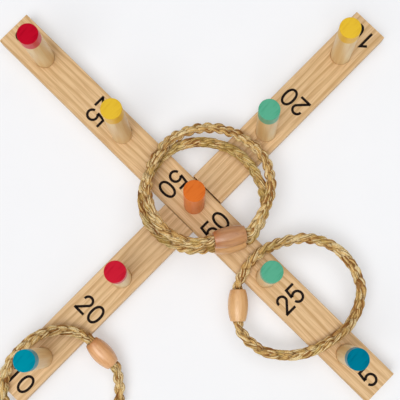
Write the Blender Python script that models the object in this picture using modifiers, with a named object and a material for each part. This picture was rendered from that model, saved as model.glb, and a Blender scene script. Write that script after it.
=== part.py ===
"""Ring toss set: two pine boards crossed in a half-lap, nine dowel pegs and four rope rings with beads.

The lower board runs along X and the upper board along Y. The origin is on the ground, at the middle of
the cross. The rings lie where they fell: two round the centre peg, one on the front arm, one on the left.
"""

import math

import bmesh
import bpy
from mathutils import Matrix, Vector

BOARD_LENGTH = 0.560
BOARD_WIDTH = 0.042
BOARD_THICKNESS = 0.018
BOARD_EDGE = 0.0012  # rounding of the long edges
TOUCH_GAP = 0.0003  # between faces that rest on each other
LAP_SLACK = 0.0005  # gap at the sides of the lap
LAP_SLACK_RIGHT = 0.0011  # the lower board's notch is cut wide on one side
CUTTER_REACH = 0.042  # how far a cutter goes past the face that it opens

PEG_RADIUS = 0.011
PEG_HEIGHT = 0.100  # above the board
PEG_CHAMFER = 0.0005
PEG_SIDES = 32
BORE_CLEARANCE = 0.0003
BORE_CUTTER_TOP = 0.020  # how far a bore's cutter stands above the board
ARM_PEG_DEPTH = 0.012
CENTRE_PEG_DEPTH = 0.015  # through the upper half of the lap and into the lower one

ROPE_RADIUS = 0.0054
ROPE_STEP = 4 * ROPE_RADIUS
ROPE_LEAD = 0.005  # straight rope outside each mouth of the bead
STRAIGHT_POINTS = 3  # a route's first and last points, which lie on the bead's axis
BEAD_LENGTH = 0.034
BEAD_RADIUS = 0.0109
BEAD_END_RADIUS = 0.0081
BEAD_BORE_RADIUS = 0.0059
BEAD_EDGE = 0.0006
BEAD_PROFILE_POINTS = 7
BEAD_STEPS = 28
SEAM = 0.0003  # from the middle of the bead to each end of its rope
SMOOTH_ANGLE = math.radians(40)

# A peg: where its foot stands in x and y, and how far its top leans in x and y, in millimetres.
# The bores were drilled by hand, so each peg stands a little off its mark and out of square.
PEGS_IN_LOWER_BOARD = {
    "peg_right_inner_green": ((112.5, -1.3), (0.9, 4.9)),
    "peg_right_outer_yellow": ((231.9, -0.1), (-2.3, 3.8)),
    "peg_left_inner_red": ((-110.9, -1.7), (4.1, 0.6)),
    "peg_left_outer_blue": ((-230.1, -1.8), (1.6, 2.2)),
}
PEG_IN_BOTH_BOARDS = {"peg_centre_orange": ((0.9, -1.3), (2.7, 0.8))}
PEGS_IN_UPPER_BOARD = {
    "peg_back_inner_yellow": ((0.4, 109.2), (3.6, 6.7)),
    "peg_back_outer_red": ((0.4, 230.3), (-1.5, -1.0)),
    "peg_front_inner_green": ((-1.2, -112.1), (1.7, 2.2)),
    "peg_front_outer_blue": ((0.3, -230.1), (-2.1, 2.9)),
}

# A ring, in millimetres: the middle of its bead, the bead's heading in degrees (towards the last route
# point's end), the slopes along x and y of the plane that it lies in, and the route of its rope in x and y,
# from the bead's near mouth all the way round to its far one.
RINGS = {
    # its bead rests on the upper board, and the far side on the arms
    "ring_centre_lower": {
        "bead": (-3.1, -58.8, 29.3), "heading": -33, "slope": (-0.032, -0.040),
        "route": [(-35, -36), (-46, -16), (-50, 6), (-45, 27), (-32, 44), (-13, 55), (9, 59), (31, 56),
                  (49, 45), (63, 29), (72, 8), (73, -15), (67, -36), (55, -55), (37, -66)],
        "colour": (0.60, 0.36, 0.17),
    },
    # its bead rests on the other bead, and the far side on the right arm
    "ring_centre_upper": {
        "bead": (0.4, -54.6, 51.0), "heading": -33, "slope": (-0.200, -0.110),
        "route": [(-32, -31), (-41, -10), (-41, 12), (-33, 33), (-17, 50), (4, 61), (27, 65), (49, 60),
                  (68, 48), (82, 30), (89, 8), (90, -15), (81, -36), (65, -52), (44, -61)],
        "colour": (0.50, 0.27, 0.14),
    },
    # it lies flat on the front arm
    "ring_front": {
        "bead": (-43.9, -111.3, 23.9), "heading": 44.5, "slope": (0.0, 0.0),
        "route": [(-10, -90), (12, -89), (34, -96), (54, -109), (68, -127), (74, -149), (71, -173),
                  (60, -193), (42, -205), (20, -210), (-3, -207), (-26, -199), (-45, -185), (-58, -167),
                  (-63, -146)],
        "colour": (0.64, 0.40, 0.20),
    },
    # it hangs over the side of the left arm, down to the ground
    "ring_left": {
        "bead": (-181.5, -43.7, 19.8), "heading": 88, "slope": (0.046, 0.183),
        "route": [(-185, -9), (-196, 6), (-215, 17), (-238, 20), (-260, 17), (-280, 5), (-294, -13),
                  (-300, -35), (-298, -57), (-288, -77), (-273, -92), (-253, -101), (-232, -102),
                  (-212, -96), (-196, -84)],
        "colour": (0.62, 0.36, 0.20),
    },
}

PINE = (0.66, 0.42, 0.20)
ROPE_JUTE = (0.42, 0.27, 0.09)
PEG_COLOURS = {
    "orange": (0.68, 0.16, 0.02),
    "green": (0.09, 0.42, 0.26),
    "yellow": (0.75, 0.45, 0.04),
    "red": (0.50, 0.01, 0.03),
    "blue": (0.01, 0.25, 0.33),
}
MM = 0.001


def material(name, colour, roughness):
    made = bpy.data.materials.new(name)
    made.use_nodes = True
    shader = made.node_tree.nodes["Principled BSDF"]
    shader.inputs["Base Color"].default_value = (*colour, 1.0)
    shader.inputs["Roughness"].default_value = roughness
    shader.inputs["Metallic"].default_value = 0.0
    return made


def add_object(name, mesh, collection, finish=None):
    made = bpy.data.objects.new(name, mesh)
    collection.objects.link(made)
    if finish:
        mesh.materials.append(finish)
    return made


def mesh_of(name, bm):
    mesh = bpy.data.meshes.new(name)
    bm.to_mesh(mesh)
    bm.free()
    return mesh


def box_mesh(name, low, high):
    bm = bmesh.new()
    bmesh.ops.create_cube(bm, size=1.0)
    bmesh.ops.scale(bm, vec=Vector(high) - Vector(low), verts=bm.verts)
    bmesh.ops.translate(bm, vec=(Vector(high) + Vector(low)) / 2, verts=bm.verts)
    return mesh_of(name, bm)


def cylinder_mesh(name, radius, low, high):
    bm = bmesh.new()
    size = {"radius1": radius, "radius2": radius, "depth": high - low}
    bmesh.ops.create_cone(bm, cap_ends=True, segments=PEG_SIDES, **size)
    bmesh.ops.translate(bm, vec=(0, 0, (high + low) / 2), verts=bm.verts)
    return mesh_of(name, bm)


def smooth(mesh):
    mesh.shade_smooth()
    mesh.set_sharp_from_angle(angle=SMOOTH_ANGLE)


def cutter(name, mesh):
    made = add_object(name, mesh, CUTTERS)
    made.hide_render = True
    made.display_type = "WIRE"
    return made


def cut(target, tool):
    subtract = target.modifiers.new(tool.name, "BOOLEAN")
    subtract.operation = "DIFFERENCE"
    subtract.object = tool


def board(name, along_x, notch_low, notch_high):
    """A board with rounded long edges and its half of the lap, lying on the ground about the origin."""
    long, wide = BOARD_LENGTH / 2, BOARD_WIDTH / 2
    x, y = (long, wide) if along_x else (wide, long)
    made = add_object(name, box_mesh(name, (-x, -y, 0), (x, y, BOARD_THICKNESS)), SET, pine)
    rounding = made.modifiers.new("edges", "BEVEL")
    rounding.width = BOARD_EDGE
    rounding.segments = 2
    cut(made, cutter(name + "_notch", box_mesh(name + "_notch", notch_low, notch_high)))
    return made


def stand_at(foot, lean):
    """A frame on the board's top whose Z axis leans by that much over a peg's height."""
    axis = Vector((lean[0] * MM, lean[1] * MM, PEG_HEIGHT))
    turn = Vector((0, 0, 1)).rotation_difference(axis)
    return Matrix.Translation((foot[0] * MM, foot[1] * MM, BOARD_THICKNESS)) @ turn.to_matrix().to_4x4()


def peg(name, place, depth, boards):
    """A dowel in its bore. Each board that the bore reaches is cut by it."""
    mesh = cylinder_mesh(name, PEG_RADIUS, -depth, PEG_HEIGHT)
    smooth(mesh)
    made = add_object(name, mesh, SET, peg_paints[name.rsplit("_", 1)[1]])
    made.matrix_world = place
    chamfer = made.modifiers.new("chamfer", "BEVEL")
    chamfer.width = PEG_CHAMFER
    chamfer.segments = 1
    bore_radius, bore_bottom = PEG_RADIUS + BORE_CLEARANCE, -depth - TOUCH_GAP
    bore = cutter(name + "_bore", cylinder_mesh(name + "_bore", bore_radius, bore_bottom, BORE_CUTTER_TOP))
    bore.matrix_world = place
    for each in boards:
        cut(each, bore)


def route_points(ring):
    """The route of a ring's rope: straight out of the bead, round the route's points and back in."""
    middle = Vector(ring["bead"]) * MM
    slope_x, slope_y = ring["slope"]
    heading = math.radians(ring["heading"])
    run_x, run_y = math.cos(heading), math.sin(heading)
    axis = Vector((run_x, run_y, run_x * slope_x + run_y * slope_y)).normalized()

    def lifted(x, y):
        offset_x, offset_y = x * MM - middle.x, y * MM - middle.y
        return Vector((x * MM, y * MM, middle.z + offset_x * slope_x + offset_y * slope_y))

    around = [lifted(x, y) for x, y in ring["route"]]
    if (around[0] - middle).dot(axis) < 0:
        axis = -axis
    mouth, lead = BEAD_LENGTH / 2, BEAD_LENGTH / 2 + ROPE_LEAD
    start = [middle + axis * reach for reach in (SEAM, mouth, lead)]
    finish = [middle - axis * reach for reach in (lead, mouth, SEAM)]
    return start + around + finish, middle, axis


def smooth_route(points):
    """Points a step apart on a smooth curve through the route, between its straight first and last few."""
    line = points[:STRAIGHT_POINTS]
    for i in range(STRAIGHT_POINTS - 1, len(points) - STRAIGHT_POINTS):
        before, a, b, after = points[i - 1:i + 3]
        square = 2 * before - 5 * a + 4 * b - after
        cube = 3 * a - before - 3 * b + after
        steps = max(1, round((b - a).length / ROPE_STEP))
        for t in (step / steps for step in range(1, steps + 1)):
            line.append(a + ((b - before) * t + square * t ** 2 + cube * t ** 3) / 2)
    return line + points[1 - STRAIGHT_POINTS:]


def rope(name, points):
    """A rope as a plain tube along its route."""
    curve = bpy.data.curves.new(name, "CURVE")
    curve.dimensions = "3D"
    curve.bevel_depth = ROPE_RADIUS
    curve.bevel_resolution = 3
    curve.use_fill_caps = True
    spline = curve.splines.new("POLY")
    spline.points.add(len(points) - 1)
    for each, at in zip(spline.points, points):
        each.co = (*at, 1.0)
    add_object(name, curve, SET, jute)


def bead_profile():
    """The closed outline of a bored barrel, down the outside and up the bore, as (radius, height)."""
    half = BEAD_LENGTH / 2
    outside = []
    for i in range(BEAD_PROFILE_POINTS):
        height = half * (1 - 2 * i / (BEAD_PROFILE_POINTS - 1))
        outside.append((BEAD_RADIUS - (BEAD_RADIUS - BEAD_END_RADIUS) * (height / half) ** 2, height))
    outside[0] = (BEAD_END_RADIUS, half - BEAD_EDGE)
    outside[-1] = (BEAD_END_RADIUS, BEAD_EDGE - half)
    top = [(BEAD_END_RADIUS - BEAD_EDGE, half)]
    bottom = [(BEAD_END_RADIUS - BEAD_EDGE, -half)]
    return top + outside + bottom + [(BEAD_BORE_RADIUS, -half), (BEAD_BORE_RADIUS, half)]


def bead(name, middle, axis, colour):
    """A turned bead, bored for the rope, its own Z axis along the rope."""
    bm = bmesh.new()
    outline = [bm.verts.new((radius, 0, height)) for radius, height in bead_profile()]
    for a, b in zip(outline, outline[1:] + outline[:1]):
        bm.edges.new((a, b))
    made = add_object(name, mesh_of(name, bm), SET, material(name, colour, 0.45))
    turn = made.modifiers.new("turned", "SCREW")
    turn.steps = BEAD_STEPS
    turn.render_steps = BEAD_STEPS
    turn.use_merge_vertices = True
    turn.merge_threshold = 0.00001
    turn.use_smooth_shade = True
    made.rotation_mode = "QUATERNION"
    made.rotation_quaternion = Vector((0, 0, 1)).rotation_difference(axis)
    made.location = middle


for old in list(bpy.data.objects):
    bpy.data.objects.remove(old)
SET = bpy.data.collections.new("ring_toss_set")
CUTTERS = bpy.data.collections.new("cutters")
for collection in (SET, CUTTERS):
    bpy.context.scene.collection.children.link(collection)

pine = material("pine", PINE, 0.5)
jute = material("jute_rope", ROPE_JUTE, 0.9)
peg_paints = {name: material(name + "_peg", colour, 0.4) for name, colour in PEG_COLOURS.items()}

half_width, lap_height = BOARD_WIDTH / 2, BOARD_THICKNESS / 2
lower_board = board(
    "lower_board", True,
    (-half_width - LAP_SLACK, -CUTTER_REACH, lap_height - TOUCH_GAP / 2),
    (half_width + LAP_SLACK_RIGHT, CUTTER_REACH, BOARD_THICKNESS + CUTTER_REACH),
)
upper_board = board(
    "upper_board", False,
    (-CUTTER_REACH, -half_width - LAP_SLACK, -CUTTER_REACH),
    (CUTTER_REACH, half_width + LAP_SLACK, lap_height + TOUCH_GAP / 2),
)
for pegs, depth, boards in (
    (PEGS_IN_LOWER_BOARD, ARM_PEG_DEPTH, [lower_board]),
    (PEG_IN_BOTH_BOARDS, CENTRE_PEG_DEPTH, [upper_board, lower_board]),
    (PEGS_IN_UPPER_BOARD, ARM_PEG_DEPTH, [upper_board]),
):
    for peg_name, (foot, lean) in pegs.items():
        peg(peg_name, stand_at(foot, lean), depth, boards)
for ring_name, ring in RINGS.items():
    route, bead_middle, bead_axis = route_points(ring)
    rope(ring_name + "_rope", smooth_route(route))
    bead(ring_name + "_bead", bead_middle, bead_axis, ring["colour"])
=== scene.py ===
"""Looks of the ring toss set: two pine boards crossed in a half-lap, nine dowel pegs and four rope rings."""

import math
import random

import bmesh
import bpy
import numpy as np
from mathutils import Matrix, Vector, noise


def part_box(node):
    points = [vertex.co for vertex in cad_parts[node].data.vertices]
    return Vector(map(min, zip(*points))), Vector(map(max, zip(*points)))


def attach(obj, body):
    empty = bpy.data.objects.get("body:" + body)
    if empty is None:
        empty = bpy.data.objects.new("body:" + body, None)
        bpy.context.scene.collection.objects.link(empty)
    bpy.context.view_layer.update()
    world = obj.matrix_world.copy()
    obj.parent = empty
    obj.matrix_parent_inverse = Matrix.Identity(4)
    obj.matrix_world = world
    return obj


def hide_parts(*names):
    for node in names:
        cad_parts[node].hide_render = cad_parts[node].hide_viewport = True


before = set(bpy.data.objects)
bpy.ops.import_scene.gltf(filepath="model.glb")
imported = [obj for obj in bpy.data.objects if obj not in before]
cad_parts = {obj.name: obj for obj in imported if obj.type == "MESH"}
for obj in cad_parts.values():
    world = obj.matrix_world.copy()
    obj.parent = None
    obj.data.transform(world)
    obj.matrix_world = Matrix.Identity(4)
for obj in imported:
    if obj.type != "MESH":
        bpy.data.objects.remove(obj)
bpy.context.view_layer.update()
MM = 0.001

# ---------------------------------------------------------------------------
# The boards. Two lengths of planed pine, crossed in a half-lap, with their long edges eased by sanding.
# The bores for the pegs are drilled to fit them closely, and their rims are only just broken.
# ---------------------------------------------------------------------------
EASED = 1.2 * MM  # radius of the long edges
EASED_STEPS = 5
END_BREAK = 0.25 * MM  # the sawn ends are only just broken
LAP_GAP = 0.3 * MM
LAP_SLACK = (0.5 * MM, 1.5 * MM)  # the lower board's notch is wider than the upper board on its right side
BORE_RADIUS = 11.15 * MM
COUNTERSINK = 0.15 * MM
PEG_HEIGHT = 100 * MM
ARM_PEG_SUNK = 12 * MM
CENTRE_PEG_SUNK = 15 * MM  # through the upper board and on into the lower one
UNDER_PEG = 0.3 * MM
BORE_SIDES = 72
CLEAR = 5 * MM  # how far a drill stands out of the board
FAR = 100 * MM  # how far a notch's cutter reaches from the middle of the set
MERGED = 0.002 * MM  # points of a turned solid closer than this are one
CREASE = math.radians(35)  # an edge that turns further than this is a sharp one

low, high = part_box("lower_board")
BOARD_LENGTH = high.x - low.x
BOARD_WIDTH = high.y - low.y
BOARD_TOP = high.z

# Where each peg stands in x and y, and how far its top leans over its height, in millimetres: the bores are
# drilled by hand, each a little off its mark and off square.
PEGS = {
    "peg_right_inner_green": ((112.5, -1.3), (0.9, 4.9)),
    "peg_right_outer_yellow": ((231.9, -0.1), (-2.3, 3.8)),
    "peg_left_inner_red": ((-110.9, -1.7), (4.1, 0.6)),
    "peg_left_outer_blue": ((-230.1, -1.8), (1.6, 2.2)),
    "peg_centre_orange": ((0.9, -1.3), (2.7, 0.8)),
    "peg_back_inner_yellow": ((0.4, 109.2), (3.6, 6.7)),
    "peg_back_outer_red": ((0.4, 230.3), (-1.5, -1.0)),
    "peg_front_inner_green": ((-1.2, -112.1), (1.7, 2.2)),
    "peg_front_outer_blue": ((0.3, -230.1), (-2.1, 2.9)),
}


def linear(hex_colour):
    """An sRGB hex colour as a linear colour with alpha."""
    parts = [int(hex_colour[i:i + 2], 16) / 255 for i in (1, 3, 5)]
    return (*[c / 12.92 if c <= 0.04045 else ((c + 0.055) / 1.055) ** 2.4 for c in parts], 1.0)


COLOURS = {"data_type": "RGBA"}
TIMES = {"operation": "MULTIPLY"}
SMOOTH = {"interpolation_type": "SMOOTHSTEP"}


def add_node(material, kind, settings, inputs):
    """Adds a node with its settings. An input is a value, or the output socket that feeds it."""
    made = material.node_tree.nodes.new(kind)
    for name, value in settings.items():
        setattr(made, name, value)
    for name, value in inputs.items():
        if isinstance(value, bpy.types.NodeSocket):
            material.node_tree.links.new(value, made.inputs[name])
        else:
            made.inputs[name].default_value = value
    return made


def start_material(name, roughness):
    made = bpy.data.materials.new(name)
    made.use_nodes = True
    shader = made.node_tree.nodes["Principled BSDF"]
    shader.inputs["Roughness"].default_value = roughness
    return made, shader


def finish_material(made, shader, colour, bump=None):
    """Joins a material's last nodes to its shader."""
    made.node_tree.links.new(colour.outputs[2], shader.inputs["Base Color"])
    if bump:
        made.node_tree.links.new(bump.outputs[0], shader.inputs["Normal"])
    return made


def pine(name, turn, pith, spacing):
    """Clear pine, planed and oiled: pale earlywood with a darker line of latewood every few millimetres.

    turn brings the grain onto X. pith is where the tree's heart lies across and below the board.
    """
    made, shader = start_material(name, 0.5)
    coords = add_node(made, "ShaderNodeTexCoord", {}, {})
    grain = add_node(made, "ShaderNodeMapping", {},
                     {"Vector": coords.outputs["Object"], "Rotation": (0, 0, turn)})
    # the rings wander by a millimetre or two over a hand's width of board
    stretched = add_node(made, "ShaderNodeVectorMath", TIMES, {0: grain.outputs[0], 1: (9, 45, 45)})
    wander = add_node(made, "ShaderNodeTexNoise", {},
                      {"Vector": stretched.outputs[0], "Scale": 1.0, "Detail": 2.0})
    centred = add_node(made, "ShaderNodeVectorMath", {"operation": "SUBTRACT"},
                       {0: wander.outputs["Color"], 1: (0.5, 0.5, 0.5)})
    shifted = add_node(made, "ShaderNodeVectorMath", {"operation": "MULTIPLY_ADD"},
                       {0: centred.outputs[0], 1: (0, 0.0055, 0.0055), 2: grain.outputs[0]})
    from_pith = add_node(made, "ShaderNodeVectorMath", {"operation": "SUBTRACT"},
                         {0: shifted.outputs[0], 1: (0, *pith)})
    flattened = add_node(made, "ShaderNodeVectorMath", TIMES, {0: from_pith.outputs[0], 1: (0, 1, 1)})
    radius = add_node(made, "ShaderNodeVectorMath", {"operation": "LENGTH"}, {0: flattened.outputs[0]})
    year = add_node(made, "ShaderNodeMath", {"operation": "DIVIDE"},
                    {0: radius.outputs["Value"], 1: spacing})
    season = add_node(made, "ShaderNodeMath", {"operation": "FRACT"}, {0: year.outputs[0]})
    darkens = add_node(made, "ShaderNodeMapRange", SMOOTH,
                       {"Value": season.outputs[0], "From Min": 0.35, "From Max": 0.86})
    stops = add_node(made, "ShaderNodeMapRange", SMOOTH,
                     {"Value": season.outputs[0], "From Min": 0.86, "From Max": 1.0,
                      "To Min": 1.0, "To Max": 0.0})
    latewood = add_node(made, "ShaderNodeMath", TIMES, {0: darkens.outputs[0], 1: stops.outputs[0]})
    # each year's latewood is its own shade, and fades in and out along the board
    vigour_space = add_node(made, "ShaderNodeVectorMath", TIMES, {0: grain.outputs[0], 1: (11, 150, 150)})
    vigour = add_node(made, "ShaderNodeTexNoise", {},
                      {"Vector": vigour_space.outputs[0], "Scale": 1.0, "Detail": 1.0})
    strength = add_node(made, "ShaderNodeMapRange", {},
                        {"Value": vigour.outputs[0], "From Min": 0.3, "From Max": 0.7, "To Min": 0.5})
    late = add_node(made, "ShaderNodeMath", TIMES, {0: latewood.outputs[0], 1: strength.outputs[0]})
    # fibres: streaks 1 mm wide and 3 cm long
    fibre_space = add_node(made, "ShaderNodeVectorMath", TIMES,
                           {0: shifted.outputs[0], 1: (38, 900, 900)})
    fibre = add_node(made, "ShaderNodeTexNoise", {},
                     {"Vector": fibre_space.outputs[0], "Scale": 1.0, "Detail": 2.0})
    # broad patches where the wood took more or less oil
    patch_space = add_node(made, "ShaderNodeVectorMath", TIMES, {0: grain.outputs[0], 1: (14, 110, 110)})
    patch = add_node(made, "ShaderNodeTexNoise", {},
                     {"Vector": patch_space.outputs[0], "Scale": 1.0, "Detail": 1.0})
    early = add_node(made, "ShaderNodeMix", COLOURS,
                     {0: patch.outputs[0], 6: linear("#DBB582"), 7: linear("#E5C293")})
    ringed = add_node(made, "ShaderNodeMix", COLOURS,
                      {0: late.outputs[0], 6: early.outputs[2], 7: linear("#C0975E")})
    streaks = add_node(made, "ShaderNodeMapRange", {},
                       {"Value": fibre.outputs[0], "From Min": 0.45, "From Max": 0.72, "To Max": 0.66})
    colour = add_node(made, "ShaderNodeMix", COLOURS,
                      {0: streaks.outputs[0], 6: ringed.outputs[2], 7: linear("#B98D56")})
    bump = add_node(made, "ShaderNodeBump", {},
                    {"Height": fibre.outputs[0], "Strength": 0.15, "Distance": 0.0001})
    return finish_material(made, shader, colour, bump)


def new_object(name, mesh, material=None):
    made = bpy.data.objects.new(name, mesh)
    bpy.context.scene.collection.objects.link(made)
    if material:
        made.data.materials.append(material)
    return made


def mesh_from(name, bm):
    mesh = bpy.data.meshes.new(name)
    bm.to_mesh(mesh)
    bm.free()
    return mesh


def apply_stack(made):
    """Replaces an object's mesh with what its modifiers make of it."""
    finished = bpy.data.meshes.new_from_object(made.evaluated_get(bpy.context.evaluated_depsgraph_get()))
    made.modifiers.clear()
    made.data = finished


def stand(node):
    """Where a peg meets the board's top, turned so that Z runs up the peg."""
    (x, y), (lean_x, lean_y) = PEGS[node]
    turn = Vector((0, 0, 1)).rotation_difference(Vector((lean_x * MM, lean_y * MM, PEG_HEIGHT)))
    return Matrix.Translation((x * MM, y * MM, BOARD_TOP)) @ turn.to_matrix().to_4x4()


def sunk(node):
    return CENTRE_PEG_SUNK if node == "peg_centre_orange" else ARM_PEG_SUNK


def plank(name):
    """A board along X with round long edges, as one extruded section, its middle over the origin."""
    bm = bmesh.new()
    section = []
    for turn in range(4):
        sign_y, sign_z = ((1, 1), (-1, 1), (-1, -1), (1, -1))[turn]
        centre = Vector((sign_y * (BOARD_WIDTH / 2 - EASED),
                         sign_z * (BOARD_TOP / 2 - EASED) + BOARD_TOP / 2))
        for step in range(EASED_STEPS + 1):
            angle = (turn + step / EASED_STEPS) * math.pi / 2
            section.append((centre.x + EASED * math.cos(angle), centre.y + EASED * math.sin(angle)))
    ends = []
    for end in (-1, 1):
        ends.append([bm.verts.new((end * BOARD_LENGTH / 2, y, z)) for y, z in section])
    for i in range(len(section)):
        j = (i + 1) % len(section)
        bm.faces.new((ends[0][i], ends[1][i], ends[1][j], ends[0][j]))
    bm.faces.new(ends[0])
    bm.faces.new(ends[1])
    bmesh.ops.recalc_face_normals(bm, faces=bm.faces)
    rims = [e for e in bm.edges if abs(e.verts[0].co.x - e.verts[1].co.x) < MM]
    bmesh.ops.bevel(bm, geom=rims, offset=END_BREAK, segments=2, profile=0.5, affect="EDGES")
    return new_object(name, mesh_from(name, bm))


def block(name, lowest, highest):
    bm = bmesh.new()
    bmesh.ops.create_cube(bm, size=1.0)
    bmesh.ops.scale(bm, vec=Vector(highest) - Vector(lowest), verts=bm.verts)
    bmesh.ops.translate(bm, vec=(Vector(highest) + Vector(lowest)) / 2, verts=bm.verts)
    return new_object(name, mesh_from(name, bm))


def turn_profile(name, outline, steps):
    """A solid turned about Z. The outline runs from top to bottom, and is a closed one if it starts off Z."""
    bm = bmesh.new()
    points = [bm.verts.new((radius, 0, height)) for radius, height in outline]
    for a, b in zip(points, points[1:]):
        bm.edges.new((a, b))
    if outline[0][0] > 0:
        bm.edges.new((points[-1], points[0]))
    made = new_object(name, mesh_from(name, bm))
    turned = made.modifiers.new("turned", "SCREW")
    turned.steps = turned.render_steps = steps
    turned.use_merge_vertices = True
    turned.merge_threshold = MERGED
    apply_stack(made)
    return made


def drill(name, place, depth):
    """The space that a drill leaves: a cylinder that flares a little at the board's top."""
    outline = [(0, CLEAR), (BORE_RADIUS + CLEAR + COUNTERSINK, CLEAR), (BORE_RADIUS, -COUNTERSINK),
               (BORE_RADIUS, -depth), (0, -depth)]
    made = turn_profile(name, outline, BORE_SIDES)
    made.data.transform(place)
    return made


def cut_board(name, turn, notch, pegs, material):
    """A plank, turned to its run, with its half of the lap and its bores cut out."""
    made = plank("cut_" + name)
    made.data.transform(Matrix.Rotation(turn, 4, "Z"))
    tools = [block(name + "_notch", *notch)]
    tools += [drill(peg + "_drill", stand(peg), sunk(peg) + UNDER_PEG) for peg in pegs]
    for tool in tools:
        cut = made.modifiers.new(tool.name, "BOOLEAN")
        cut.operation = "DIFFERENCE"
        cut.object = tool
    apply_stack(made)
    for tool in tools:
        bpy.data.objects.remove(tool)
    made.data.shade_smooth()
    made.data.set_sharp_from_angle(angle=CREASE)
    shading = made.modifiers.new("flat_faces_stay_flat", "WEIGHTED_NORMAL")
    shading.keep_sharp = True
    made.data.materials.clear()
    made.data.materials.append(material)
    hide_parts(name)
    return made


half, middle_height = BOARD_WIDTH / 2, BOARD_TOP / 2
LOWER_PEGS = [name for name in PEGS if "right" in name or "left" in name]
UPPER_PEGS = [name for name in PEGS if name not in LOWER_PEGS]
lower_board = cut_board(
    "lower_board", 0,
    ((-half - LAP_SLACK[0], -FAR, middle_height - LAP_GAP / 2), (half + LAP_SLACK[1], FAR, FAR)),
    [*LOWER_PEGS, "peg_centre_orange"], pine("pine_lower", 0, (-0.108, -0.105), 5.15 * MM),
)
upper_board = cut_board(
    "upper_board", math.pi / 2,
    ((-FAR, -half - LAP_SLACK[0], -FAR), (FAR, half + LAP_SLACK[0], middle_height + LAP_GAP / 2)),
    UPPER_PEGS, pine("pine_upper", -math.pi / 2, (0.102, -0.112), 4.83 * MM),
)
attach(lower_board, "base")
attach(upper_board, "cross")

# ---------------------------------------------------------------------------
# The score numbers. Screen-printed in black ink on the bare wood, outboard of each peg, all reading outward.
# Each digit is a pen stroke of even width; the ink stands a few hundredths of a millimetre proud.
# ---------------------------------------------------------------------------
DIGIT_HEIGHT = 21.5
DIGIT_STEP = 16.0
STROKE = 2.85
INK = 0.06 * MM
OVAL_POINTS = 48


def bend(centre, radii, start, stop):
    """Points in millimetres along part of an ellipse, from one angle to another, in degrees."""
    steps = max(2, round(abs(stop - start) / 8))
    angles = [math.radians(start + (stop - start) * i / steps) for i in range(steps + 1)]
    return [(centre[0] + radii[0] * math.cos(a), centre[1] + radii[1] * math.sin(a)) for a in angles]


def oval(centre, radii, squareness):
    """A closed oval with flatter sides than an ellipse."""
    points = []
    for i in range(OVAL_POINTS):
        across, up = math.cos(math.tau * i / OVAL_POINTS), math.sin(math.tau * i / OVAL_POINTS)
        points.append((centre[0] + radii[0] * math.copysign(abs(across) ** squareness, across),
                       centre[1] + radii[1] * math.copysign(abs(up) ** squareness, up)))
    return points + points[:1]


DIGITS = {
    "0": [oval((7.15, 10.75), (5.75, 9.5), 0.9)],
    "1": [[(2.4, 14.3), (8.2, 19.4), (8.2, 0)]],
    "2": [bend((7.4, 15.1), (5.05, 5.0), 186, -36) + [(1.75, 1.9)], [(0, 1.42), (13.8, 1.42)]],
    "5": [[(13.3, 20.0), (2.9, 20.0), (1.6, 10.1)], bend((7.05, 7.0), (5.6, 5.85), 146, -166)],
}
# Each arm: its direction out from the middle, and the body that it belongs to.
ARMS = {
    "right": ((1, 0), "base"), "back": ((0, 1), "cross"),
    "left": ((-1, 0), "base"), "front": ((0, -1), "cross"),
}
# A number's arm, its digits, how far out its top edge is, and where its first digit starts across the arm.
NUMBERS = [
    ("right", "20", 147.6, -15.8), ("right", "10", 252.0, -16.7),
    ("back", "50", 20.0, -15.1), ("back", "25", 132.9, -15.8), ("back", "5", 252.0, -7.6),
    ("left", "20", 147.0, -13.2), ("left", "10", 251.0, -14.1),
    ("front", "50", 23.7, -14.9), ("front", "25", 135.7, -15.0), ("front", "5", 252.0, -7.6),
]


def pen_stroke(bm, points):
    """A flat band of even width along the points, mitred at its corners, closed if it ends as it began."""
    closed = points[0] == points[-1]
    line = [Vector(p) for p in (points[:-1] if closed else points)]
    rows = []
    for i, point in enumerate(line):
        before = line[i - 1] if closed or i else point * 2 - line[1]
        after = line[(i + 1) % len(line)] if closed or i < len(line) - 1 else point * 2 - line[i - 1]
        arriving, leaving = (point - before).normalized(), (after - point).normalized()
        along = (arriving + leaving).normalized()
        reach = STROKE / 2 / max(0.35, along.dot(arriving))
        side = Vector((-along.y, along.x)) * reach
        rows.append([bm.verts.new((*(point + way * side), 0)) for way in (1, -1)])
    for one, two in zip(rows, rows[1:] + rows[:1] * closed):
        bm.faces.new((one[0], one[1], two[1], two[0]))


def printing_ink():
    """Screen-printing ink: near black and matt, a little worn where the grain stands up."""
    made, shader = start_material("printing_ink", 0.85)
    shader.inputs["Specular IOR Level"].default_value = 0.15
    coords = add_node(made, "ShaderNodeTexCoord", {}, {})
    specks = add_node(made, "ShaderNodeTexNoise", {},
                      {"Vector": coords.outputs["Object"], "Scale": 1500.0})
    worn = add_node(made, "ShaderNodeMapRange", {},
                    {"Value": specks.outputs[0], "From Min": 0.45, "From Max": 0.8})
    colour = add_node(made, "ShaderNodeMix", COLOURS,
                      {0: worn.outputs[0], 6: linear("#18100D"), 7: linear("#2D201A")})
    return finish_material(made, shader, colour)


def printed_number(arm, digits, top, start, material):
    """A number of the list above, laid on its arm."""
    bm = bmesh.new()
    for place, digit in enumerate(digits):
        for stroke in DIGITS[digit]:
            pen_stroke(bm, [(x + place * DIGIT_STEP, y) for x, y in stroke])
    name = f"number_{arm}_{digits}"
    made = new_object(name, mesh_from(name, bm), material)
    (out_x, out_y), body = ARMS[arm]
    out, across = Vector((out_x, out_y, 0)), Vector((-out_y, out_x, 0))
    corner = (out * (top + DIGIT_HEIGHT) + across * start) * MM + Vector((0, 0, BOARD_TOP - INK / 3))
    axes = Matrix((across * MM, -out * MM, Vector((0, 0, MM)))).transposed().to_4x4()
    made.data.transform(Matrix.Translation(corner) @ axes)
    thick = made.modifiers.new("ink", "SOLIDIFY")
    thick.thickness = INK
    thick.offset = 1.0
    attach(made, body)


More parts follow.
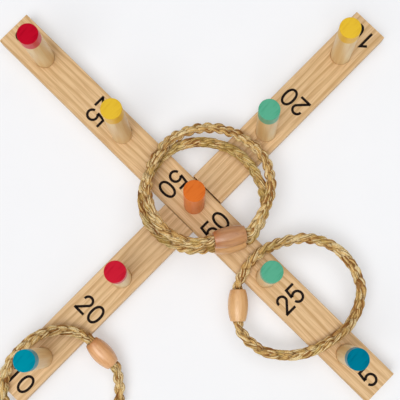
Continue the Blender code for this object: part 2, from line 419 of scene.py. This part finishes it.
ink = printing_ink()
for number in NUMBERS:
    printed_number(*number, ink)

# ---------------------------------------------------------------------------
# The pegs. Lengths of 22 mm hardwood dowel, glued in their bores, their ends sanded flat with a small round.
# The tops are dipped in thin paint to 18 mm; the centre peg is stained orange all the way down.
# ---------------------------------------------------------------------------
PEG_RADIUS = 11 * MM
PEG_ROUND = 0.6 * MM
PEG_SIDES = 96
DIPPED = 18 * MM
# Each paint on the end, in the end's heavier strokes, and down the side.
PAINTS = {
    "green": ("#5AAC8C", "#4C9E7E", "#5AAC88"),
    "yellow": ("#E4BB36", "#DAAD30", "#EFBA26"),
    "red": ("#BC0D28", "#A60820", "#D21E32"),
    "thin_red": ("#C91F34", "#B4152B", "#D52A3C"),
    "blue": ("#007791", "#00657E", "#007C94"),
    "thin_blue": ("#008DA2", "#007D94", "#008A9E"),
    "orange": ("#DA712C", "#CB6122", "#EB8036"),
}
THINLY_DIPPED = ("peg_left_inner_red", "peg_left_outer_blue")  # paler than the other peg of their colour


def keep(mesh, name, kind, field, values):
    """Keeps a value for every point of a mesh, for its material to read.

    own_place is where a point lies along and across its own piece, so that a pattern follows the piece.
    """
    layer = mesh.attributes.new(name, kind, "POINT")
    layer.data.foreach_set(field, np.array(values, np.float32).ravel())


def turned_piece(name, outline, steps, material):
    """A turned piece in its own frame, shaded smooth except at its edges."""
    made = turn_profile(name, outline, steps)
    made.data.materials.append(material)
    keep(made.data, "own_place", "FLOAT_VECTOR", "vector", [vertex.co for vertex in made.data.vertices])
    made.data.shade_smooth()
    made.data.set_sharp_from_angle(angle=CREASE)
    return made


def dowel(name, paint, all_stained):
    """Hardwood dowel, sanded and dipped: fine straight pores along it that show through thin paint."""
    made, shader = start_material(name, 0.45)
    place = add_node(made, "ShaderNodeAttribute", {"attribute_name": "own_place"}, {})
    parts = add_node(made, "ShaderNodeSeparateXYZ", {}, {0: place.outputs["Vector"]})
    pore_space = add_node(made, "ShaderNodeVectorMath", TIMES,
                          {0: place.outputs["Vector"], 1: (900, 900, 28)})
    pores = add_node(made, "ShaderNodeTexNoise", {},
                     {"Vector": pore_space.outputs[0], "Scale": 1.0, "Detail": 2.0})
    # growth bands 4 to 8 mm wide run up the dowel
    band_space = add_node(made, "ShaderNodeVectorMath", TIMES,
                          {0: place.outputs["Vector"], 1: (260, 120, 9)})
    bands = add_node(made, "ShaderNodeTexNoise", {},
                     {"Vector": band_space.outputs[0], "Scale": 1.0, "Detail": 1.0})
    banded = add_node(made, "ShaderNodeMapRange", SMOOTH,
                      {"Value": bands.outputs[0], "From Min": 0.35, "From Max": 0.7})
    wood = add_node(made, "ShaderNodeMix", COLOURS,
                    {0: banded.outputs[0], 6: linear("#F3D7A4"), 7: linear("#E6BE80")})
    pore_lines = add_node(made, "ShaderNodeMapRange", {},
                          {"Value": pores.outputs[0], "From Min": 0.5, "From Max": 0.8, "To Max": 0.35})
    bare = add_node(made, "ShaderNodeMix", COLOURS,
                    {0: pore_lines.outputs[0], 6: wood.outputs[2], 7: linear("#CB9A5A")})
    # the paint on the sanded end lies in strokes that follow the sanding
    stroke_space = add_node(made, "ShaderNodeVectorMath", TIMES,
                            {0: place.outputs["Vector"], 1: (70, 380, 28)})
    strokes = add_node(made, "ShaderNodeTexNoise", {},
                       {"Vector": stroke_space.outputs[0], "Scale": 1.0, "Detail": 3.0})
    heavy = add_node(made, "ShaderNodeMapRange", SMOOTH,
                     {"Value": strokes.outputs[0], "From Min": 0.42, "From Max": 0.78})
    coat = add_node(made, "ShaderNodeMix", COLOURS,
                    {0: heavy.outputs[0], 6: linear(paint[0]), 7: linear(paint[1])})
    # it is thinner down the side, where the grain shows through
    on_end = add_node(made, "ShaderNodeMapRange", {},
                      {"Value": parts.outputs["Z"], "From Min": PEG_HEIGHT - 1.2 * PEG_ROUND,
                       "From Max": PEG_HEIGHT - 0.1 * PEG_ROUND})
    coat_here = add_node(made, "ShaderNodeMix", COLOURS,
                         {0: on_end.outputs[0], 6: linear(paint[2]), 7: coat.outputs[2]})
    thin = add_node(made, "ShaderNodeMapRange", {},
                    {"Value": pores.outputs[0], "From Min": 0.3, "From Max": 0.7,
                     "To Min": 1.0, "To Max": 1.0 if all_stained else 0.9})
    cover = add_node(made, "ShaderNodeMath", {"operation": "MAXIMUM"},
                     {0: on_end.outputs[0], 1: thin.outputs[0]})
    edge = -1.0 if all_stained else PEG_HEIGHT - DIPPED
    ragged = add_node(made, "ShaderNodeMath", {"operation": "MULTIPLY_ADD"},
                      {0: pores.outputs[0], 1: 0.0012, 2: parts.outputs["Z"]})
    dipped = add_node(made, "ShaderNodeMapRange", {},
                      {"Value": ragged.outputs[0], "From Min": edge, "From Max": edge + 0.4 * MM})
    amount = add_node(made, "ShaderNodeMath", TIMES, {0: cover.outputs[0], 1: dipped.outputs[0]})
    # end grain drinks the paint and dries matt
    shine = add_node(made, "ShaderNodeMapRange", {},
                     {"Value": on_end.outputs[0], "To Min": 0.5, "To Max": 0.0})
    made.node_tree.links.new(shine.outputs[0], shader.inputs["Specular IOR Level"])
    colour = add_node(made, "ShaderNodeMix", COLOURS,
                      {0: amount.outputs[0], 6: bare.outputs[2], 7: coat_here.outputs[2]})
    bump = add_node(made, "ShaderNodeBump", {},
                    {"Height": pores.outputs[0], "Strength": 0.2, "Distance": 0.0001})
    return finish_material(made, shader, colour, bump)


def peg_outline(depth):
    inner, shoulder = PEG_RADIUS - PEG_ROUND, PEG_HEIGHT - PEG_ROUND
    rounded = [(inner + PEG_ROUND * math.sin(a), shoulder + PEG_ROUND * math.cos(a))
               for a in (i * math.pi / 8 for i in range(5))]
    return [(0, PEG_HEIGHT)] + rounded + [(PEG_RADIUS, PEG_HEIGHT / 2), (PEG_RADIUS, -depth), (0, -depth)]


dowels = {}
for node in PEGS:
    paint_name = "thin_" * (node in THINLY_DIPPED) + node.rsplit("_", 1)[1]
    if paint_name not in dowels:
        dowels[paint_name] = dowel("dowel_" + paint_name, PAINTS[paint_name], paint_name == "orange")
    peg = turned_piece(node.replace("peg", "dowel"), peg_outline(sunk(node)), PEG_SIDES, dowels[paint_name])
    peg.data.transform(stand(node))
    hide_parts(node)
    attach(peg, "base" if node in LOWER_PEGS else "cross")

# ---------------------------------------------------------------------------
# The beads. Each is turned from a hardwood blank as a barrel with flat ends, bored along its length for the
# rope and clear-lacquered. It hides the butt where the two ends of the rope are glued.
# ---------------------------------------------------------------------------
BEAD_HALF = 17 * MM
BEAD_RADIUS = 10.9 * MM
BEAD_BORE = 5.9 * MM
BEAD_BREAK = 0.5 * MM
BEAD_BELLY = 2.1  # the power of its curve: 2 is a plain arc, and more is blunter
BEAD_CURVE = 8  # steps from its middle to a rim
BEAD_SIDES = 80

# A ring, in millimetres: the middle of its bead, the bead's heading in degrees, the slopes along x and y of
# the plane that it lies in, and the route of its rope in x and y, from one mouth of the bead to the other.
# steeped is how deeply the lacquer has stained the bead's first mouth.
RINGS = {
    "ring_centre_lower": {
        "bead": (-3.1, -58.8, 29.3), "heading": -33, "slope": (-0.032, -0.040), "end_radius": 8.1,
        "route": [(-35, -36), (-46, -16), (-50, 6), (-45, 27), (-32, 44), (-13, 55), (9, 59), (31, 56),
                  (49, 45), (63, 29), (72, 8), (73, -15), (67, -36), (55, -55), (37, -66)],
        "slot": "tan_bead", "wood": ("#DDAC74", "#CC985F"), "steeped": 0.1,
    },
    "ring_centre_upper": {
        "bead": (0.4, -54.6, 51.0), "heading": -33, "slope": (-0.200, -0.110), "end_radius": 8.3,
        "route": [(-32, -31), (-41, -10), (-41, 12), (-33, 33), (-17, 50), (4, 61), (27, 65), (49, 60),
                  (68, 48), (82, 30), (89, 8), (90, -15), (81, -36), (65, -52), (44, -61)],
        "slot": "brown_bead", "wood": ("#C79263", "#B67F53"), "steeped": 0.6,
    },
    "ring_front": {
        "bead": (-43.9, -111.3, 23.9), "heading": 44.5, "slope": (0.0, 0.0), "end_radius": 8.0,
        "route": [(-10, -90), (12, -89), (34, -96), (54, -109), (68, -127), (74, -149), (71, -173),
                  (60, -193), (42, -205), (20, -210), (-3, -207), (-26, -199), (-45, -185), (-58, -167),
                  (-63, -146)],
        "slot": "pale_bead", "wood": ("#E4B57D", "#D9A76E"), "steeped": 0.1,
    },
    "ring_left": {
        "bead": (-181.5, -43.7, 19.8), "heading": 88, "slope": (0.046, 0.183), "end_radius": 7.3,
        "route": [(-185, -9), (-196, 6), (-215, 17), (-238, 20), (-260, 17), (-280, 5), (-294, -13),
                  (-300, -35), (-298, -57), (-288, -77), (-273, -92), (-253, -101), (-232, -102),
                  (-212, -96), (-196, -84)],
        "slot": "brown_bead", "wood": ("#E6B07C", "#D59A63"), "steeped": 0.45,
    },
}


def bead_axis(ring):
    """The middle of a ring's bead, and the direction that its rope leaves in."""
    middle = Vector(ring["bead"]) * MM
    heading = math.radians(ring["heading"])
    run_x, run_y = math.cos(heading), math.sin(heading)
    axis = Vector((run_x, run_y, run_x * ring["slope"][0] + run_y * ring["slope"][1])).normalized()
    first = Vector((*ring["route"][0], 0)) * MM - middle
    return middle, axis if first.xy.dot(axis.xy) > 0 else -axis


def bead_outline(end_radius):
    """Down the barrel's outside and up its bore."""
    outside = []
    for i in range(2 * BEAD_CURVE + 1):
        height = (BEAD_HALF - BEAD_BREAK) * (1 - i / BEAD_CURVE)
        fullness = 1 - abs(height / BEAD_HALF) ** BEAD_BELLY
        outside.append((end_radius + (BEAD_RADIUS - end_radius) * fullness, height))
    inner = [(end_radius - BEAD_BREAK, -BEAD_HALF), (BEAD_BORE + BEAD_BREAK, -BEAD_HALF),
             (BEAD_BORE, BEAD_BREAK - BEAD_HALF), (BEAD_BORE, BEAD_HALF - BEAD_BREAK),
             (BEAD_BORE + BEAD_BREAK, BEAD_HALF)]
    return [(end_radius - BEAD_BREAK, BEAD_HALF)] + outside + inner


def lacquered_wood(name, pale, dark, steeped):
    """Turned hardwood under clear lacquer: soft grain along the bead, glossy, and redder towards one rim."""
    made, shader = start_material(name, 0.4)
    shader.inputs["Coat Weight"].default_value = 0.5
    shader.inputs["Coat Roughness"].default_value = 0.18
    place = add_node(made, "ShaderNodeAttribute", {"attribute_name": "own_place"}, {})
    figure_space = add_node(made, "ShaderNodeVectorMath", TIMES,
                            {0: place.outputs["Vector"], 1: (300, 160, 34)})
    figure = add_node(made, "ShaderNodeTexNoise", {},
                      {"Vector": figure_space.outputs[0], "Scale": 1.0, "Detail": 2.0})
    figured = add_node(made, "ShaderNodeMapRange", SMOOTH,
                       {"Value": figure.outputs[0], "From Min": 0.35, "From Max": 0.68})
    pore_space = add_node(made, "ShaderNodeVectorMath", TIMES,
                          {0: place.outputs["Vector"], 1: (1300, 1300, 90)})
    pores = add_node(made, "ShaderNodeTexNoise", {},
                     {"Vector": pore_space.outputs[0], "Scale": 1.0, "Detail": 2.0})
    pore_lines = add_node(made, "ShaderNodeMapRange", {},
                          {"Value": pores.outputs[0], "From Min": 0.55, "From Max": 0.8, "To Max": 0.45})
    wood = add_node(made, "ShaderNodeMix", COLOURS,
                    {0: figured.outputs[0], 6: linear(pale), 7: linear(dark)})
    shade = add_node(made, "ShaderNodeMix", {"data_type": "RGBA", "blend_type": "MULTIPLY"},
                     {0: pore_lines.outputs[0], 6: wood.outputs[2], 7: linear("#B08A6A")})
    # the end that dried downwards took up more lacquer
    parts = add_node(made, "ShaderNodeSeparateXYZ", {}, {0: place.outputs["Vector"]})
    rim = add_node(made, "ShaderNodeMapRange", SMOOTH,
                   {"Value": parts.outputs["Z"], "From Min": 0.5 * BEAD_HALF, "From Max": BEAD_HALF,
                    "To Max": steeped})
    colour = add_node(made, "ShaderNodeMix", COLOURS,
                      {0: rim.outputs[0], 6: shade.outputs[2], 7: linear("#B0642F")})
    return finish_material(made, shader, colour)


for ring_name, ring in RINGS.items():
    wood = lacquered_wood("lacquered_wood_" + ring_name, *ring["wood"], ring["steeped"])
    outline = bead_outline(ring["end_radius"] * MM)
    bead = turned_piece(ring_name + "_turned_bead", outline, BEAD_SIDES, wood)
    middle, axis = bead_axis(ring)
    turn = Vector((0, 0, 1)).rotation_difference(axis)
    bead.data.transform(Matrix.Translation(middle) @ turn.to_matrix().to_4x4())
    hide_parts(ring_name + "_bead")
    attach(bead, ring_name)

# ---------------------------------------------------------------------------
# The ropes. Each is a plait of three strands of golden seagrass, 11 mm across, cut to about 400 mm, bent
# round and glued end to end inside its bead. Every strand is a bundle of dried blades with loose ends.
# ---------------------------------------------------------------------------
STRAIGHT = 3  # a route's first and last points, which lie on the bead's axis
SEAM = 0.3 * MM  # from the middle of the bead to each end of the rope
LEAD = 5 * MM  # straight out of the bead before the rope bends
BEAD_STEPS = 14  # in half a bead
LEAD_STEPS = 4
ROUTE_STEP = 1.4 * MM
STRANDS = 3
PLAIT_PERIOD = 34.5 * MM  # each strand comes back to the same side after this length
SWING = 2.05 * MM  # from side to side
RISE = 2.0 * MM  # over and under the other strands
STRAND_WIDE = 3.85 * MM
STRAND_THICK = 3.05 * MM
BLADES = 14  # round each strand
BLADE_WIDE = 0.9 * MM
BLADE_THICK = 0.52 * MM
BLADE_SIDES = 6
CORE_SHARE = 0.72  # of a strand's size
CORE_SIDES = 8
BLADE_TWIST = 85 * MM  # along the strand for one turn
BLADE_SUNK = 0.2 * MM  # in from the strand's outline
HOLLOW = 5.3 * MM  # a point nearer to the rope's middle than this gets some painted shade
FIBRES = 260  # on each rope
FIBRE_STEPS = 4
FIBRE_SIDES = 3
BARE_ENDS = 22  # points of the route, at each end, that no loose fibre leaves
# How much the plait wanders. The first three and ANGLE are in radians, and the others are shares.
ROLL_START = 0.3
ROLL = 0.85
TIMING = 0.7
SPREAD = 0.12
GIRTH = 0.12
ANGLE = 0.5
LIFT = 0.12
BREADTH = 0.55
STRAND_TONE = 0.4
BLADE_TONE = 0.9


def straight(start, stop, steps):
    """Even steps from start up to stop, which it leaves out."""
    return [start.lerp(stop, i / steps) for i in range(steps)]


def rope_route(ring):
    """The rope's centreline in metres, straight out of the bead, round its route and straight back in."""
    middle, axis = bead_axis(ring)
    slope_x, slope_y = ring["slope"]

    def lifted(x, y):
        offset_x, offset_y = x * MM - middle.x, y * MM - middle.y
        return Vector((x * MM, y * MM, middle.z + offset_x * slope_x + offset_y * slope_y))

    around = [lifted(x, y) for x, y in ring["route"]]
    start = [middle + axis * reach for reach in (SEAM, BEAD_HALF, BEAD_HALF + LEAD)]
    finish = [middle - axis * reach for reach in (BEAD_HALF + LEAD, BEAD_HALF, SEAM)]
    points = start + around + finish
    line = straight(start[0], start[1], BEAD_STEPS) + straight(start[1], start[2], LEAD_STEPS) + [start[2]]
    for i in range(STRAIGHT - 1, len(points) - STRAIGHT):
        before, a, b, after = points[i - 1:i + 3]
        square = 2 * before - 5 * a + 4 * b - after
        cube = 3 * a - before - 3 * b + after
        steps = max(1, round((b - a).length / ROUTE_STEP))
        for t in (step / steps for step in range(1, steps + 1)):
            line.append(a + ((b - before) * t + square * t ** 2 + cube * t ** 3) / 2)
    line += straight(finish[0], finish[1], LEAD_STEPS)[1:]
    return line + straight(finish[1], finish[2], BEAD_STEPS) + [finish[2]]


def unit(rows):
    return rows / np.linalg.norm(rows, axis=1, keepdims=True)


def drift(count, place, size):
    """A smooth, repeatable wander about zero, a value for each point of a line. A larger size is quicker."""
    return np.array([noise.noise(Vector((i * size, place, 0.5))) for i in range(count)])


def plait(line, normal, seed):
    """The three strands of a rope: their centrelines, with the axes of their sections."""
    points = np.array(line)
    count = len(points)
    ahead = unit(np.gradient(points, axis=0))
    along = np.concatenate([[0], np.cumsum(np.linalg.norm(np.diff(points, axis=0), axis=1))])
    side = unit(np.cross(ahead, np.array(normal)))
    face = np.cross(side, ahead)
    # the plait is flatter than it is wide, and rolls over slowly as it goes round
    roll = (ROLL_START * (-1) ** seed + ROLL * drift(count, seed + 40, 0.02))[:, None]
    side, face = side * np.cos(roll) + face * np.sin(roll), face * np.cos(roll) - side * np.sin(roll)
    strands = []
    for k in range(STRANDS):
        # a strand runs a little ahead or behind, and stands out more or less
        phase = along / PLAIT_PERIOD + k / STRANDS
        turn = math.tau * phase + TIMING * drift(count, seed + 10 * k, 0.06)
        loose = 1 + SPREAD * drift(count, seed + 10 * k + 3, 0.09)
        across = (SWING * (np.sin(turn) + 0.1 * np.sin(3 * turn)) * loose)[:, None]
        up = (RISE * np.sin(2 * turn) * loose)[:, None]
        middle = points + side * across + face * up
        heading = unit(np.gradient(middle, axis=0))
        wide = unit(np.cross(heading, face))
        thick = np.cross(wide, heading)
        full = 0.98 + 0.10 * np.abs(np.sin(2 * turn)) + GIRTH * drift(count, seed + 10 * k + 6, 0.12)
        strands.append((middle, wide, thick, full, along))
    return strands


def tube(middle, one, two, half_one, half_two, sides):
    """The points of a tube with an oval section, a row for each point of its middle line.

    The middle line runs against the cross product of the section's axes, one and two.
    """
    angles = np.arange(sides) * math.tau / sides
    return (middle[:, None] + one[:, None] * (half_one[:, None] * np.cos(angles))[:, :, None]
            + two[:, None] * (half_two[:, None] * np.sin(angles))[:, :, None])


def tube_faces(first, count, sides):
    """The faces of such a tube and its two ends, all facing outwards."""
    rows = first + np.arange(count - 1)[:, None] * sides
    j = np.arange(sides)
    here, there = rows + j, rows + (j + 1) % sides
    faces = np.stack([here, here + sides, there + sides, there], axis=-1).reshape(-1, 4).tolist()
    ends = [list(range(first, first + sides)),
            list(range(first + count * sides - 1, first + (count - 1) * sides - 1, -1))]
    return faces + ends


def plait_mesh(strands, line, seed):
    """Every strand is a core with blades round it. Each point gets a tone, its blade's own colour, and an
    amount of painted shade, which is 1 in the gaps.
    """
    centre = np.array(line)
    points, faces, places, tones, gap_shades = [], [], [], [], []

    def add(rows, sides, place, tone):
        faces.extend(tube_faces(sum(len(part) for part in points), len(rows), sides))
        points.append(rows.reshape(-1, 3))
        places.append(np.repeat(place, sides, axis=0))
        tones.append(np.repeat(tone, sides))
        # painted shade: more of it nearer the rope's middle, and on the inner side of each blade and the
        # lower side of each core
        inside = 1.15 - np.linalg.norm(rows - centre[:, None], axis=2) / HOLLOW
        under = 1 - np.clip(2.2 * np.sin(np.arange(sides) * math.tau / sides), 0, 1)
        gap_shades.append(np.clip(np.maximum(inside, 0.55 * under), 0, 1).ravel())

    for k, (middle, wide, thick, full, along) in enumerate(strands):
        count = len(middle)
        core_wide, core_thick = STRAND_WIDE * CORE_SHARE * full, STRAND_THICK * CORE_SHARE * full
        core = tube(middle, wide, thick, core_wide, core_thick, CORE_SIDES)
        core_place = np.stack([along * 0 + k * 0.05, along * 0, along + seed], axis=1)
        add(core, CORE_SIDES, core_place, along * 0 + 0.2)
        strand_tone = 0.5 + STRAND_TONE * drift(count, seed + 20 + 7 * k, 0.13)
        for blade in range(BLADES):
            key = 100 * seed + 10 * k + blade
            phase = blade / BLADES + along / BLADE_TWIST
            angle = math.tau * phase + ANGLE * drift(count, key + 0.3, 0.07)
            lift = 1 - BLADE_SUNK / STRAND_THICK + LIFT * drift(count, key + 0.6, 0.13)
            reach_wide = (STRAND_WIDE - BLADE_THICK) * full * lift
            reach_thick = (STRAND_THICK - BLADE_THICK) * full * lift
            outward = unit(wide * (np.cos(angle) / STRAND_WIDE)[:, None]
                           + thick * (np.sin(angle) / STRAND_THICK)[:, None])
            place = (middle + wide * (reach_wide * np.cos(angle))[:, None]
                     + thick * (reach_thick * np.sin(angle))[:, None])
            ahead = unit(np.gradient(place, axis=0))
            level = unit(np.cross(ahead, outward))
            upright = np.cross(level, ahead)
            breadth = 1 + BREADTH * drift(count, key + 0.8, 0.10)
            # a place of its own in the pattern, so that no two blades look alike
            own = np.stack([along * 0 + blade * 0.01 + k * 0.13, along * 0,
                            along + seed + blade * 0.21], axis=1)
            tone = strand_tone + BLADE_TONE * drift(count, key + 0.1, 0.14) + 0.2 * math.sin(key * 2.4)
            blade_wide, blade_thick = BLADE_WIDE * breadth, BLADE_THICK * (1.1 - 0.1 * breadth)
            add(tube(place, level, upright, blade_wide, blade_thick, BLADE_SIDES), BLADE_SIDES, own, tone)
    points, places, tones, gap_shades = (np.concatenate(rows) for rows in (points, places, tones, gap_shades))
    return points, faces, places, tones, gap_shades


def seagrass(name, green_share):
    """Dried seagrass: golden blades with olive and brown ones among them, matt, fibrous along the strand."""
    made, shader = start_material(name, 0.7)
    shader.inputs["Specular IOR Level"].default_value = 0.35
    place = add_node(made, "ShaderNodeAttribute", {"attribute_name": "own_place"}, {})
    coords = add_node(made, "ShaderNodeTexCoord", {}, {})
    tone = add_node(made, "ShaderNodeAttribute", {"attribute_name": "tone"}, {})
    gap_shade = add_node(made, "ShaderNodeAttribute", {"attribute_name": "gap_shade"}, {})
    # veins along a blade, a millimetre apart or less
    fibre_space = add_node(made, "ShaderNodeVectorMath", TIMES,
                           {0: place.outputs["Vector"], 1: (1000, 1000, 130)})
    fibre_shift = add_node(made, "ShaderNodeVectorMath", {"operation": "MULTIPLY_ADD"},
                           {0: coords.outputs["Object"], 1: (900, 900, 900), 2: fibre_space.outputs[0]})
    fibres = add_node(made, "ShaderNodeTexNoise", {},
                      {"Vector": fibre_shift.outputs[0], "Scale": 1.0, "Detail": 2.0})
    # a brown blade, a golden one and a pale one
    ripe = add_node(made, "ShaderNodeMapRange", SMOOTH,
                    {"Value": tone.outputs["Fac"], "From Min": 0.05, "From Max": 0.42})
    brown = add_node(made, "ShaderNodeMix", COLOURS,
                     {0: ripe.outputs[0], 6: linear("#94602A"), 7: linear("#DBB46F")})
    bleached = add_node(made, "ShaderNodeMapRange", SMOOTH,
                        {"Value": tone.outputs["Fac"], "From Min": 0.42, "From Max": 0.85})
    pale = add_node(made, "ShaderNodeMix", COLOURS,
                    {0: bleached.outputs[0], 6: brown.outputs[2], 7: linear("#EFD8A4")})
    # some lengths dried while they were still green
    green_space = add_node(made, "ShaderNodeTexNoise", {},
                           {"Vector": coords.outputs["Object"], "Scale": 60.0})
    green = add_node(made, "ShaderNodeMapRange", SMOOTH,
                     {"Value": green_space.outputs[0], "From Min": 0.62 - green_share,
                      "From Max": 0.8 - green_share, "To Max": 0.5})
    olive = add_node(made, "ShaderNodeMix", COLOURS,
                     {0: green.outputs[0], 6: pale.outputs[2], 7: linear("#BFAB5A")})
    lines = add_node(made, "ShaderNodeMapRange", {},
                     {"Value": fibres.outputs[0], "From Min": 0.47, "From Max": 0.7, "To Max": 0.68})
    lined = add_node(made, "ShaderNodeMix", COLOURS,
                     {0: lines.outputs[0], 6: olive.outputs[2], 7: linear("#946828")})
    # here and there a red-brown length of stem
    stem_space = add_node(made, "ShaderNodeTexNoise", {},
                          {"Vector": place.outputs["Vector"], "Scale": 55.0})
    stem = add_node(made, "ShaderNodeMapRange", SMOOTH,
                    {"Value": stem_space.outputs[0], "From Min": 0.62, "From Max": 0.72, "To Max": 0.5})
    stemmed = add_node(made, "ShaderNodeMix", COLOURS,
                       {0: stem.outputs[0], 6: lined.outputs[2], 7: linear("#96552B")})
    # painted shade: the gaps between strands and blades, and the inner sides of the blades, are darkened
    # towards a shadow brown
    painted_gap_shade = add_node(made, "ShaderNodeMapRange", SMOOTH,
                      {"Value": gap_shade.outputs["Fac"], "From Min": 0.2, "From Max": 0.75, "To Max": 0.95})
    colour = add_node(made, "ShaderNodeMix", COLOURS,
                      {0: painted_gap_shade.outputs[0], 6: stemmed.outputs[2], 7: linear("#6C4516")})
    bump = add_node(made, "ShaderNodeBump", {},
                    {"Height": fibres.outputs[0], "Strength": 0.5, "Distance": 0.0003})
    return finish_material(made, shader, colour, bump)


def loose_fibres(name, strands, centre, seed, material):
    """Blade ends that have sprung out of the plait: thin tapered hairs that leave it along the strands."""
    chance = random.Random(seed)
    bm = bmesh.new()
    for _ in range(FIBRES):
        middle, wide, thick, full, along = strands[chance.randrange(STRANDS)]
        i = chance.randrange(BARE_ENDS, len(middle) - BARE_ENDS)
        angle = chance.uniform(0, math.tau)
        outward = Vector(wide[i] * math.cos(angle) + thick[i] * math.sin(angle))
        if outward.dot(Vector(middle[i] - centre[i])) < 0:
            outward.negate()
        root = Vector(middle[i]) + outward * STRAND_THICK * 0.95
        heading = (Vector(middle[i + 1]) - Vector(middle[i])).normalized() * chance.choice((-1, 1))
        length = chance.uniform(2.5, 8.5) * MM
        spring = chance.uniform(0.12, 0.5)
        droop = chance.uniform(-0.25, 0.25)
        bow = heading.cross(outward) * droop
        radius = chance.uniform(0.08, 0.17) * MM
        rings = []
        for step in range(FIBRE_STEPS + 1):
            t = step / FIBRE_STEPS
            at = root + (heading * t + outward * spring * t * (1.5 - 0.7 * t) + bow * t * t) * length
            size = radius * (1.05 - t)
            across = heading.cross(outward).normalized()
            rings.append([bm.verts.new(at + (outward * math.cos(a) + across * math.sin(a)) * size)
                          for a in (math.tau * j / FIBRE_SIDES for j in range(FIBRE_SIDES))])
        for one, two in zip(rings, rings[1:]):
            for j in range(FIBRE_SIDES):
                after = (j + 1) % FIBRE_SIDES
                bm.faces.new((one[j], one[after], two[after], two[j]))
        bm.faces.new(rings[0])
        bm.faces.new(rings[-1])
    bmesh.ops.recalc_face_normals(bm, faces=bm.faces)
    return new_object(name, mesh_from(name, bm), material)


def fibre_straw():
    """Single blades of seagrass: pale straw where light comes through them."""
    made, shader = start_material("fibre_straw", 0.6)
    coords = add_node(made, "ShaderNodeTexCoord", {}, {})
    tone = add_node(made, "ShaderNodeTexNoise", {}, {"Vector": coords.outputs["Object"], "Scale": 160.0})
    colour = add_node(made, "ShaderNodeMix", COLOURS,
                      {0: tone.outputs[0], 6: linear("#B08F4C"), 7: linear("#DCC591")})
    return finish_material(made, shader, colour)


grass = {"ring_centre_lower": seagrass("seagrass_green", 0.22)}
ripe_grass = seagrass("seagrass_ripe", 0.05)
straw = fibre_straw()
for seed, (ring_name, ring) in enumerate(RINGS.items()):
    line = rope_route(ring)
    slope_x, slope_y = ring["slope"]
    normal = Vector((-slope_x, -slope_y, 1)).normalized()
    strands = plait(line, normal, 7 * seed + 1)
    points, faces, places, tones, gap_shades = plait_mesh(strands, line, 7 * seed + 1)
    mesh = bpy.data.meshes.new(ring_name + "_plait")
    mesh.from_pydata(points.tolist(), [], faces)
    keep(mesh, "own_place", "FLOAT_VECTOR", "vector", places)
    keep(mesh, "tone", "FLOAT", "value", tones)
    # how much painted shade each point gets, for the material to read
    keep(mesh, "gap_shade", "FLOAT", "value", gap_shades)
    mesh.shade_smooth()
    rope = new_object(ring_name + "_plait", mesh, grass.get(ring_name, ripe_grass))
    hairs = loose_fibres(ring_name + "_fibres", strands, np.array(line), seed, straw)
    for piece in (rope, hairs):
        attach(piece, ring_name)
    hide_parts(ring_name + "_rope")
    middle, axis = bead_axis(ring)

# ---------------------------------------------------------------------------
# The studio. A lit acrylic table-top, a dim even surround, a broad key light from the left arm's side and a
# very wide one straight overhead, seen from above.
# ---------------------------------------------------------------------------
FLOOR_SIZE = 30.0


def lit_table():
    """White acrylic, lit from below: it stays white under the set, and shadows on it are pale."""
    made, shader = start_material("lit_acrylic", 0.9)
    coords = add_node(made, "ShaderNodeTexCoord", {}, {})
    cloudy = add_node(made, "ShaderNodeTexNoise", {}, {"Vector": coords.outputs["Object"], "Scale": 30.0})
    colour = add_node(made, "ShaderNodeMix", COLOURS,
                      {0: cloudy.outputs[0], 6: linear("#CFD0D3"), 7: linear("#D1D2D5")})
    shader.inputs["Specular IOR Level"].default_value = 0.0
    shader.inputs["Emission Color"].default_value = (1, 1, 1, 1)
    shader.inputs["Emission Strength"].default_value = 0.268
    return finish_material(made, shader, colour)


bm = bmesh.new()
bmesh.ops.create_grid(bm, x_segments=1, y_segments=1, size=FLOOR_SIZE / 2)
floor = new_object("floor", mesh_from("floor", bm), lit_table())

world = bpy.data.worlds.new("white_surround")
world.use_nodes = True
world.node_tree.nodes["Background"].inputs["Color"].default_value = (1, 1, 1, 1)
world.node_tree.nodes["Background"].inputs["Strength"].default_value = 0.19
bpy.context.scene.world = world


def lamp(name, kind, direction, power):
    """A light that shines on the middle of the set from a direction."""
    data = bpy.data.lights.new(name, kind)
    data.energy = power
    made = bpy.data.objects.new(name, data)
    bpy.context.scene.collection.objects.link(made)
    made.location = Vector(direction).normalized()
    made.rotation_euler = Vector(direction).to_track_quat("Z", "Y").to_euler()
    return data


key = lamp("key", "SUN", (-0.53, -0.12, 1.0), 1.25)
key.angle = math.radians(42)
overhead = lamp("overhead", "SUN", (0, 0, 1), 1.54)
overhead.angle = math.radians(80)
bpy.context.scene.view_settings.view_transform = "Standard"

camera_data = bpy.data.cameras.new("camera")
camera_data.lens = 85
camera_data.sensor_width = 36
camera_data.clip_start = 0.01
camera = bpy.data.objects.new("camera", camera_data)
camera.location = (-0.0675, -0.0852, 1.0365)
camera.rotation_euler = [math.radians(angle) for angle in (6.28, 0.30, -45.38)]
bpy.context.scene.collection.objects.link(camera)
bpy.context.scene.camera = camera
